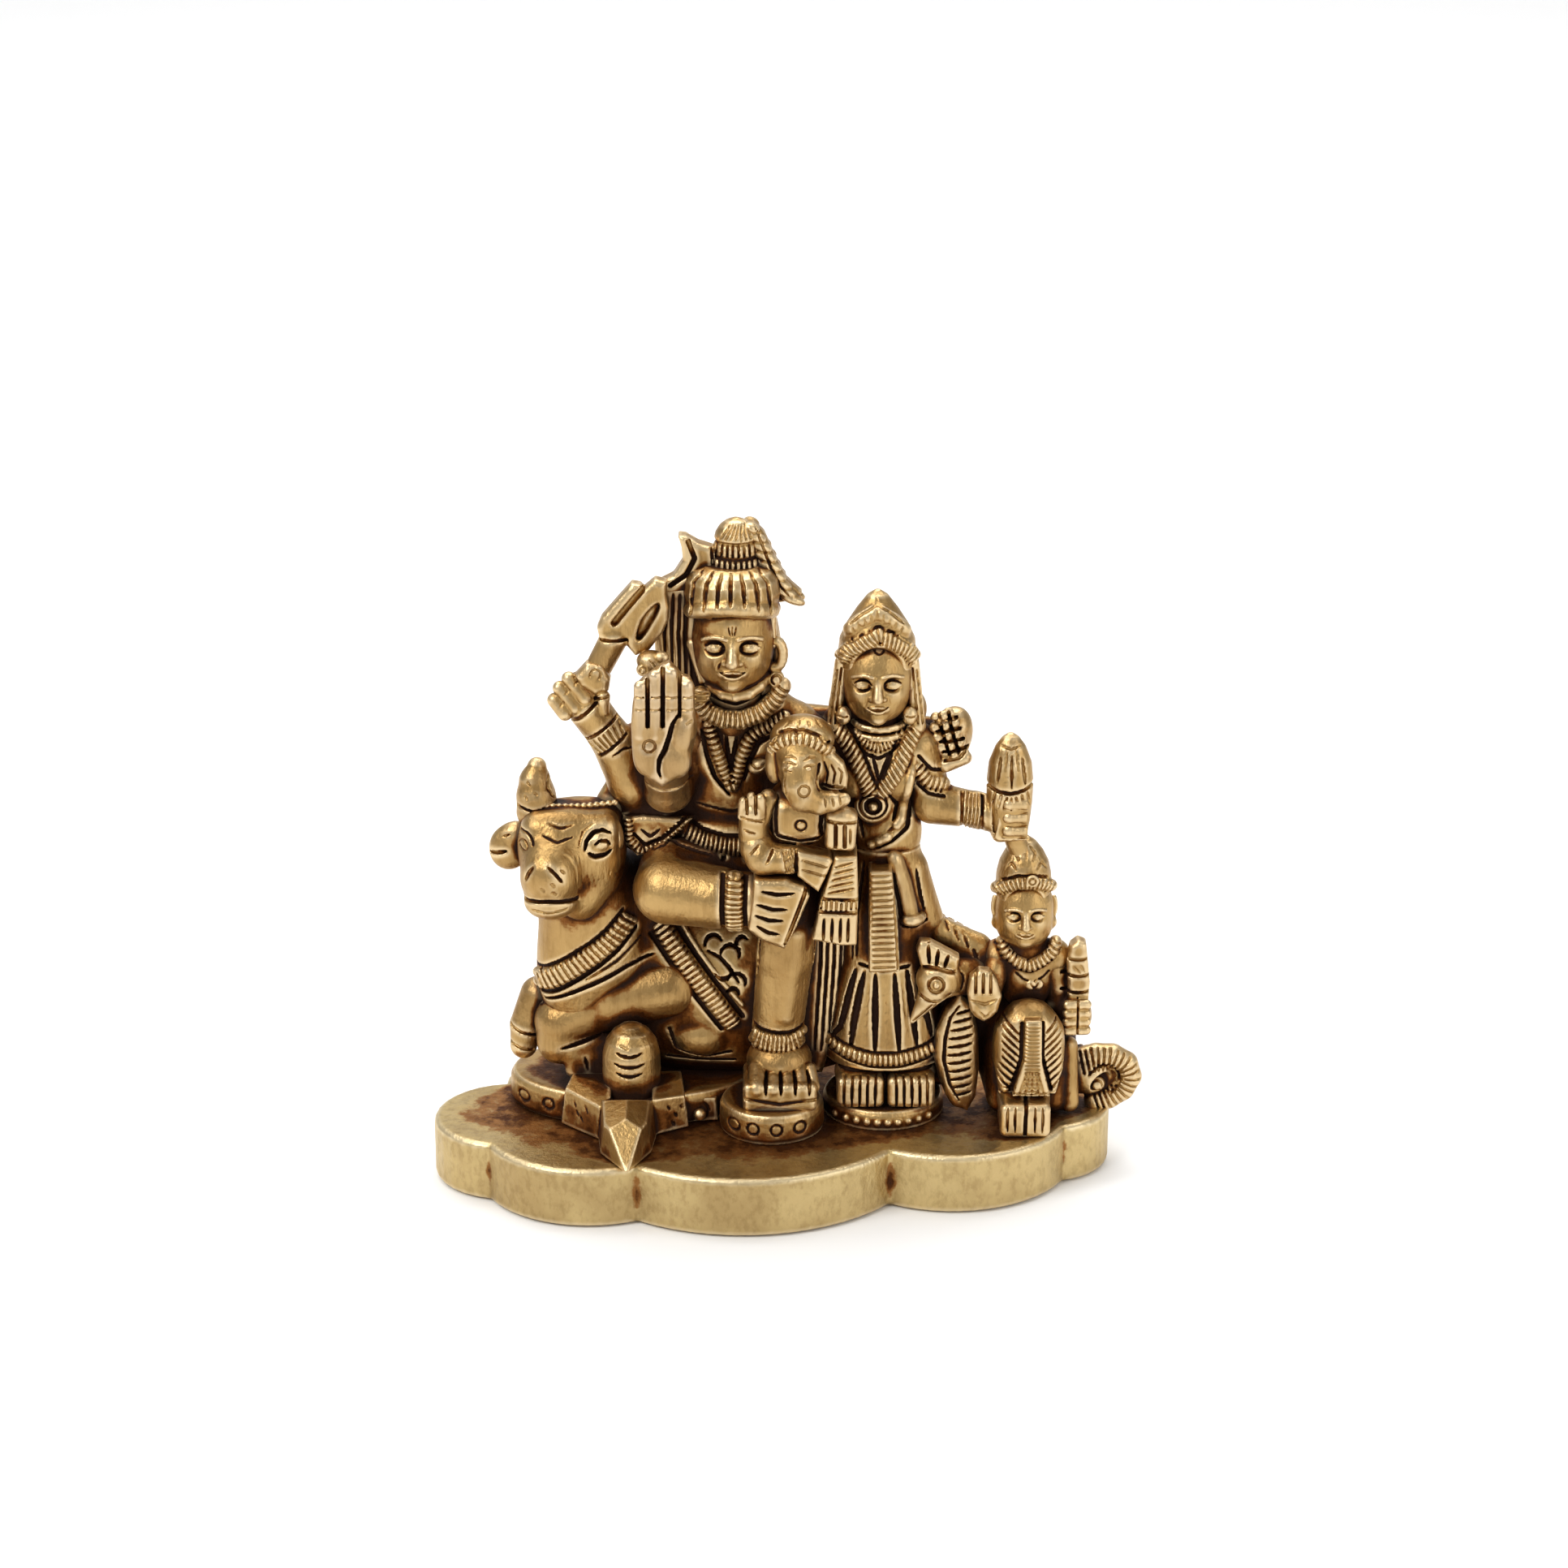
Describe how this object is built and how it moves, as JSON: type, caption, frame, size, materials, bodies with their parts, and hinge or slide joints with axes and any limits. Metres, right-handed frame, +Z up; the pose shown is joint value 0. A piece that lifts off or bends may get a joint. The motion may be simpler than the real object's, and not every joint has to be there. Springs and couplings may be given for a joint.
{
  "type": "brass deity family figurine",
  "caption": "Cast brass shrine group: four-armed figure seated on a reclining bull, elephant-headed child on the lap, standing consort, child on a peacock and a domed stone, on a lobed plate.",
  "frame": {"origin": "centre of the whole group's footprint box, on the underside of the base plate", "axes": "+Z up, front of the group faces -Y, +X to the right as seen from the front"},
  "size_m": [0.1046, 0.0472, 0.0996],
  "materials": {
    "brass": "polished high points over dark brown patina in the recesses",
    "brass_filed": "filed and brushed, pale yellow",
    "brass_rubbed": "rubbed smooth, slightly copper-pink"
  },
  "bodies": {
    "root": {"base_plate": "brass_filed", "basin_with_spout": "brass", "blessing_arm": "brass_rubbed", "bull_body": "brass", "bull_ear_left": "brass", "bull_ear_right": "brass", "bull_foreleg_far": "brass", "bull_foreleg_near": "brass", "bull_head": "brass", "bull_hind_leg": "brass", "bull_horn_left": "brass", "bull_horn_right": "brass", "bull_plinth": "brass", "bull_tail": "brass", "child_blessing_arm": "brass", "child_crown": "brass", "child_feet": "brass", "child_head": "brass", "child_legs": "brass", "child_spear_arm": "brass", "child_torso": "brass", "consort_arm": "brass", "consort_crown": "brass", "consort_feet": "brass", "consort_hair": "brass", "consort_head": "brass", "consort_plinth": "brass", "consort_sash": "brass", "consort_skirt": "brass", "consort_torso": "brass", "crescent": "brass", "domed_stone": "brass", "elephant_blessing_arm": "brass", "elephant_body": "brass", "elephant_crown": "brass", "elephant_folded_leg": "brass", "elephant_hanging_leg": "brass", "elephant_head": "brass", "elephant_sweet_arm": "brass", "embracing_arm": "brass", "folded_foot": "brass", "folded_leg": "brass", "foot_plinth": "brass", "hair_band": "brass", "hair_fall": "brass", "hair_knot": "brass", "hair_stream": "brass", "hanging_foot": "brass", "hanging_leg": "brass", "lotus_bud": "brass", "peacock_body": "brass", "peacock_head": "brass", "peacock_tail": "brass", "peacock_wing": "brass", "rear_arm": "brass", "seated_head": "brass", "seated_torso": "brass", "trident": "brass"}
  },
  "joints": []
}
